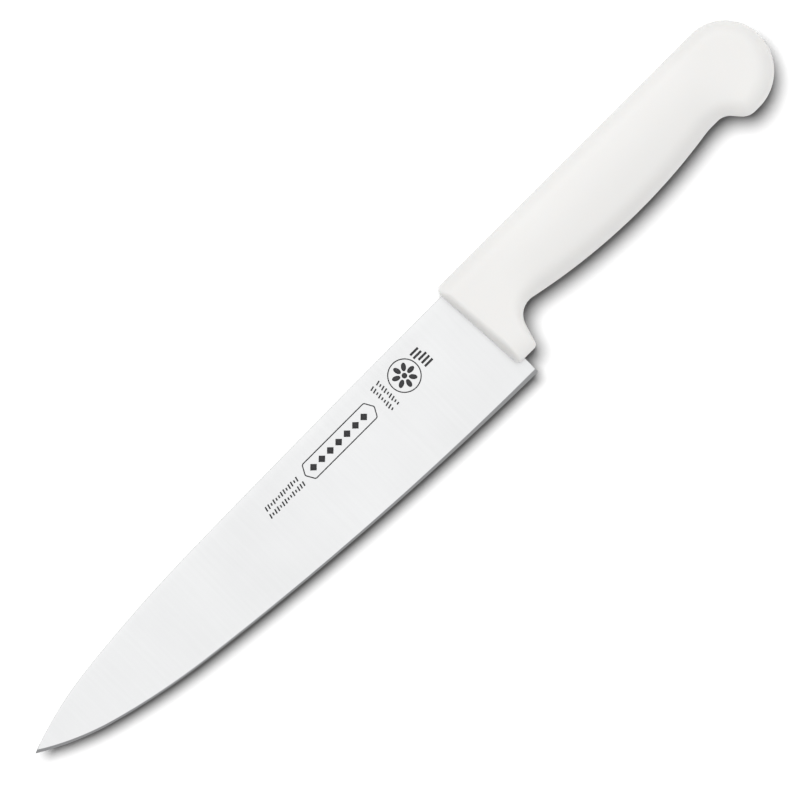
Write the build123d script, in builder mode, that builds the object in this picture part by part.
from build123d import *
import math
import os

# A cook's knife lying on its side, in millimetres. The point is towards -X, the butt of the handle
# towards +X, the spine towards +Y and the cutting edge towards -Y. The knife rests on the flank of
# its handle at Z = 0, and the origin is under the middle of the knife.

# Blade
BLADE_LENGTH = 203.2  # point to the front face of the handle
BLADE_DEPTH = 40.4  # spine to cutting edge at the heel
SPINE_THICKNESS = 2.0  # steel at the heel, along the spine
EDGE_THICKNESS = 0.64  # steel at the heel, where the flat grind would meet the cutting edge
POINT_THICKNESS = 0.72  # steel that the flat grind leaves at the point
BEVEL_ANGLE = 14.0  # each side of the cutting bevel, from the blade's middle plane
EDGE_LIFT = 0.66  # degrees that the edge already rises at the heel
POINT_DROP = 12.0  # point below the spine's straight stretch
HEEL_SETBACK = 4.3  # heel behind the front face of the handle
SPINE_STEP = 2.9  # blade's spine below the handle's
SPINE_RADIUS = 0.3  # rounding of the spine's two edges
EDGE_ALLOWANCE = 0.6  # extra steel on the blank, ground away with the bevel

# Where the arcs of the edge and of the spine meet, as shares of the run from the point back to where
# the curve starts, and of its rise or fall to the point.
EDGE_JOINTS = ((0.304, 0.349), (0.125, 0.608))
SPINE_JOINTS = ((0.427, 0.079), (0.160, 0.362))

# Tang, the part of the blade inside the handle
TANG_LENGTH = 96.0  # front face of the handle to the tang's end
TANG_DEPTH = 13.0
TANG_DROP = 6.5  # tang's upper side below the handle's spine
TANG_HOLE_DIAMETER = 6.0
TANG_HOLE_COUNT = 3
TANG_HOLE_PITCH = 26.0
TANG_END_MARGIN = 12.0  # last hole's centre to the tang's end
TANG_END_RADIUS = 5.5
SHOULDER_RADIUS = 2.0  # inside corners where the tang leaves the blade

# Handle
HANDLE_LENGTH = 135.0  # front face to butt
HANDLE_THICKNESS = 20.0  # at the palm and the butt
FRONT_THICKNESS = 14.5  # at the front face
FRONT_TAPER_LENGTH = 52.0  # front face to where the flanks run flat
FRONT_LEAN = 3.3  # degrees that the front face leans towards the point at the spine
FRONT_RADIUS = 1.9  # rounding of the front face and of the guard's underside
FLANK_RADIUS = 5.6  # rounding between the flanks and the spine, belly and butt
GUARD_DEPTH = 36.9  # handle's spine to the guard's underside
GUARD_WIDTH = 8.7  # guard's underside, front to back
GUARD_LEAN = 17.0  # degrees that the guard's back leans away from square
NECK_RADIUS = 7.0  # hollow behind the guard, for the index finger
NECK_RISE = 6.3  # belly at the guard's back above its deepest point
PALM_SETBACK = 67.0  # front face to the belly's deepest point
PALM_DEPTH = 29.3  # handle's spine to the belly's deepest point
WAIST_DEPTH = 26.6  # handle's spine to the waist, in front of the butt
WAIST_LENGTH = 7.5  # straight stretch of the waist
WAIST_RADIUS = 25.0  # where the belly runs out into the waist
BUTT_DEPTH = 33.1  # handle's spine to the butt's underside
BUTT_LENGTH = 21.3  # hook's corner to the end of the butt
BUTT_TOP_RADIUS = 16.0
BUTT_FLAT = 0.1  # straight stretch left between the butt's two rounds
HOOK_ANGLE = 49.0  # degrees that the hook's slope falls from the waist
HOOK_FOOT_RADIUS = 6.0  # hollow where the waist turns down the hook's slope
HOOK_CORNER_MARGIN = 0.4  # hook's corner is rounder than the flanks' rounding that runs round it
TRIM = 2.0  # cut off the nose and the guard, which are first made too long

# Places that follow from the sizes
overall_length = BLADE_LENGTH + HANDLE_LENGTH
overall_depth = BLADE_DEPTH + SPINE_STEP
point_x = -overall_length / 2
front_x = point_x + BLADE_LENGTH
heel_x = front_x + HEEL_SETBACK
butt_x = front_x + HANDLE_LENGTH
handle_top = overall_depth / 2
spine_y = handle_top - SPINE_STEP
edge_y = spine_y - BLADE_DEPTH
point_y = spine_y - POINT_DROP
middle_z = HANDLE_THICKNESS / 2
tang_top = handle_top - TANG_DROP
tang_middle = tang_top - TANG_DEPTH / 2
tang_bottom = tang_top - TANG_DEPTH
tang_end = front_x + TANG_LENGTH
reach = HANDLE_THICKNESS  # how far cutting shapes run past what they cut

middle = Plane.XY.offset(middle_z)


def curve_points(joints, start_x, start_y):
    """Points of a blade outline from its start to the blade's point, one for each joint: a share of
    the run, counted back from the blade's point, and a share of the rise from start_y."""
    run = start_x - point_x
    rise = point_y - start_y
    joined = [(point_x + along * run, start_y + up * rise) for along, up in joints]
    return [(start_x, start_y), *joined, (point_x, point_y)]


def tangent_arcs(points, direction):
    """Arcs through the points: the first leaves along direction, and each is tangent to the one
    before."""
    arcs = []
    for start, end in zip(points, points[1:]):
        arcs.append(TangentArc(start, end, tangent=direction))
        direction = arcs[-1] % 1
    return arcs


def round_corner(sketch, place, radius):
    """Rounds the corner of the sketch that lies at place."""
    fillet(sketch.vertices().sort_by_distance(place)[0], radius)


edge_points = curve_points(EDGE_JOINTS, heel_x, edge_y)
edge_start = Vector(-1, 0).rotate(Axis.Z, -EDGE_LIFT)
spine_points = curve_points(SPINE_JOINTS, front_x, spine_y)
spine_start = Vector(-1, 0)

# The cutter that grinds both bevels: all that lies outside a V whose point runs along the edge.
bevel_depth = SPINE_THICKNESS / math.tan(math.radians(BEVEL_ANGLE))
with BuildPart() as bevel:
    with BuildLine(middle) as edge_line:
        lead_in = Line(Vector(*edge_points[0]) - edge_start * reach, edge_points[0])
        edge_arcs = tangent_arcs(edge_points, edge_start)
        Line(edge_arcs[-1] @ 1, edge_arcs[-1] @ 1 + (edge_arcs[-1] % 1) * reach)
    across = Plane(lead_in @ 0, x_dir=(0, 0, 1), z_dir=lead_in % 0)
    with BuildSketch(across) as outside_v:
        with BuildLine():
            Polyline(
                (0, 0),
                (SPINE_THICKNESS, bevel_depth),
                (reach, bevel_depth),
                (reach, -reach),
                (-reach, -reach),
                (-reach, bevel_depth),
                (-SPINE_THICKNESS, bevel_depth),
                close=True,
            )
        make_face()
    sweep(path=edge_line.wires()[0])

# Blade: one piece of steel from the point to the tang's end, with both faces ground flat.
with BuildPart() as blade:
    with BuildSketch(middle) as blank:
        with BuildLine():
            blank_edge = [(x, y - EDGE_ALLOWANCE) for x, y in edge_points]
            tangent_arcs(blank_edge, edge_start)
            tangent_arcs(spine_points, spine_start)
            Line(blank_edge[-1], spine_points[-1])
            Polyline(
                spine_points[0],
                (heel_x, spine_y),
                (heel_x, tang_top),
                (tang_end, tang_top),
                (tang_end, tang_bottom),
                (heel_x, tang_bottom),
                blank_edge[0],
            )
        make_face()
        fillet(blank.vertices().group_by(Axis.X)[-1], TANG_END_RADIUS)
        shoulders = blank.vertices().group_by(Axis.X)[-3].sort_by(Axis.Y)[1:3]
        fillet(shoulders, SHOULDER_RADIUS)
    extrude(amount=SPINE_THICKNESS, both=True)
    # Each face is one plane through the steel's thickness at the heel's spine, the heel's edge and
    # the point, so the blade thins towards the edge and towards the point.
    for side in (Vector(0, 0, 0.5), Vector(0, 0, -0.5)):
        on_spine = Vector(heel_x, spine_y, middle_z) + side * SPINE_THICKNESS
        on_edge = Vector(heel_x, edge_y, middle_z) + side * EDGE_THICKNESS
        on_point = Vector(point_x, point_y, middle_z) + side * POINT_THICKNESS
        outward = (on_edge - on_spine).cross(on_point - on_spine)
        if outward.dot(side) < 0:
            outward = -outward
        split(bisect_by=Plane(on_point, z_dir=outward), keep=Keep.BOTTOM)
    add(bevel.part, mode=Mode.SUBTRACT)
    # Holes through the tang that the plastic fills and locks in.
    last_hole = tang_end - TANG_END_MARGIN
    hole_places = [(last_hole - i * TANG_HOLE_PITCH, tang_middle) for i in range(TANG_HOLE_COUNT)]
    with BuildSketch(middle):
        with Locations(*hole_places):
            Circle(TANG_HOLE_DIAMETER / 2)
    extrude(amount=reach, both=True, mode=Mode.SUBTRACT)
    # The sharp edges along the curved spine, taken off up to the handle.
    curved = blade.edges().filter_by(GeomType.ELLIPSE).filter_by_position(Axis.X, point_x, front_x)
    fillet(curved.filter_by_position(Axis.Y, point_y, handle_top), SPINE_RADIUS)

# Handle: moulded around the tang, so its inside is the blade's own shape.
guard_bottom = handle_top - GUARD_DEPTH
belly_y = handle_top - PALM_DEPTH
waist_y = handle_top - WAIST_DEPTH
butt_bottom = handle_top - BUTT_DEPTH
butt_bottom_radius = BUTT_DEPTH - BUTT_TOP_RADIUS - BUTT_FLAT
front_slope = math.tan(math.radians(FRONT_LEAN))
guard_slope = math.tan(math.radians(GUARD_LEAN))
guard_back = front_x + (tang_middle - guard_bottom) * front_slope + GUARD_WIDTH
neck = (guard_back + (belly_y + NECK_RISE - guard_bottom) * guard_slope, belly_y + NECK_RISE)
hook_corner = (butt_x - BUTT_LENGTH, butt_bottom)
hook_foot = (hook_corner[0] - (waist_y - butt_bottom) / math.tan(math.radians(HOOK_ANGLE)), waist_y)
waist = (hook_foot[0] - WAIST_LENGTH, waist_y)

with BuildPart() as handle:
    # Its side outline, with the front and the guard still too long.
    with BuildSketch(middle) as side_outline:
        with BuildLine():
            Polyline(
                neck,
                (guard_back - TRIM * guard_slope, guard_bottom - TRIM),
                (front_x - TRIM, guard_bottom - TRIM),
                (front_x - TRIM, handle_top),
                (butt_x, handle_top),
                (butt_x, butt_bottom),
                hook_corner,
                hook_foot,
                waist,
            )
            ThreePointArc(neck, (front_x + PALM_SETBACK, belly_y), waist)
        make_face()
        round_corner(side_outline, neck, NECK_RADIUS)
        round_corner(side_outline, waist, WAIST_RADIUS)
        round_corner(side_outline, hook_foot, HOOK_FOOT_RADIUS)
        round_corner(side_outline, hook_corner, FLANK_RADIUS + HOOK_CORNER_MARGIN)
        round_corner(side_outline, (butt_x, handle_top), BUTT_TOP_RADIUS)
        round_corner(side_outline, (butt_x, butt_bottom), butt_bottom_radius)
    extrude(amount=HANDLE_THICKNESS / 2, both=True)
    # Its plan: both flanks flat from the butt to the palm, then tapering to the front face.
    with BuildSketch(Plane.XZ):
        with BuildLine():
            start = (butt_x + reach, HANDLE_THICKNESS)
            flat = Line(start, (front_x + FRONT_TAPER_LENGTH, HANDLE_THICKNESS))
            taper = TangentArc(flat @ 1, (front_x, middle_z + FRONT_THICKNESS / 2), tangent=flat % 1)
            nose = Line(taper @ 1, taper @ 1 + (taper % 1) * reach)
            Polyline(nose @ 1, ((nose @ 1).X, middle_z), (start[0], middle_z), start)
        make_face()
        mirror(about=Plane.XZ.offset(-middle_z))
    extrude(amount=overall_depth, both=True, mode=Mode.INTERSECT)
    # The long edges between the flanks and the spine, belly and butt.
    flanks = handle.faces().filter_by(lambda face: abs(face.normal_at().Z) > 0.5)
    long_edges = flanks.edges().filter_by(Axis.Y, reverse=True).sort_by(Axis.Y)[2:]
    fillet(long_edges, FLANK_RADIUS)
    # The front face and the guard's underside.
    front = Plane((front_x, tang_middle, middle_z), z_dir=(-1, -front_slope, 0))
    underside = Plane((front_x, guard_bottom, middle_z), z_dir=(0, -1, 0))
    split(bisect_by=front, keep=Keep.BOTTOM)
    split(bisect_by=underside, keep=Keep.BOTTOM)
    front_edges = handle.faces().filter_by(front)[0].edges()
    underside_edges = handle.faces().filter_by(Axis.Y).sort_by(Axis.Y)[0].edges()
    fillet(front_edges + [edge for edge in underside_edges if edge not in front_edges], FRONT_RADIUS)
    add(blade.part, mode=Mode.SUBTRACT)

os.makedirs("parts", exist_ok=True)
blade.part.label = "blade"
export_step(blade.part, "parts/blade.step")
handle.part.label = "handle"
export_step(handle.part, "parts/handle.step")
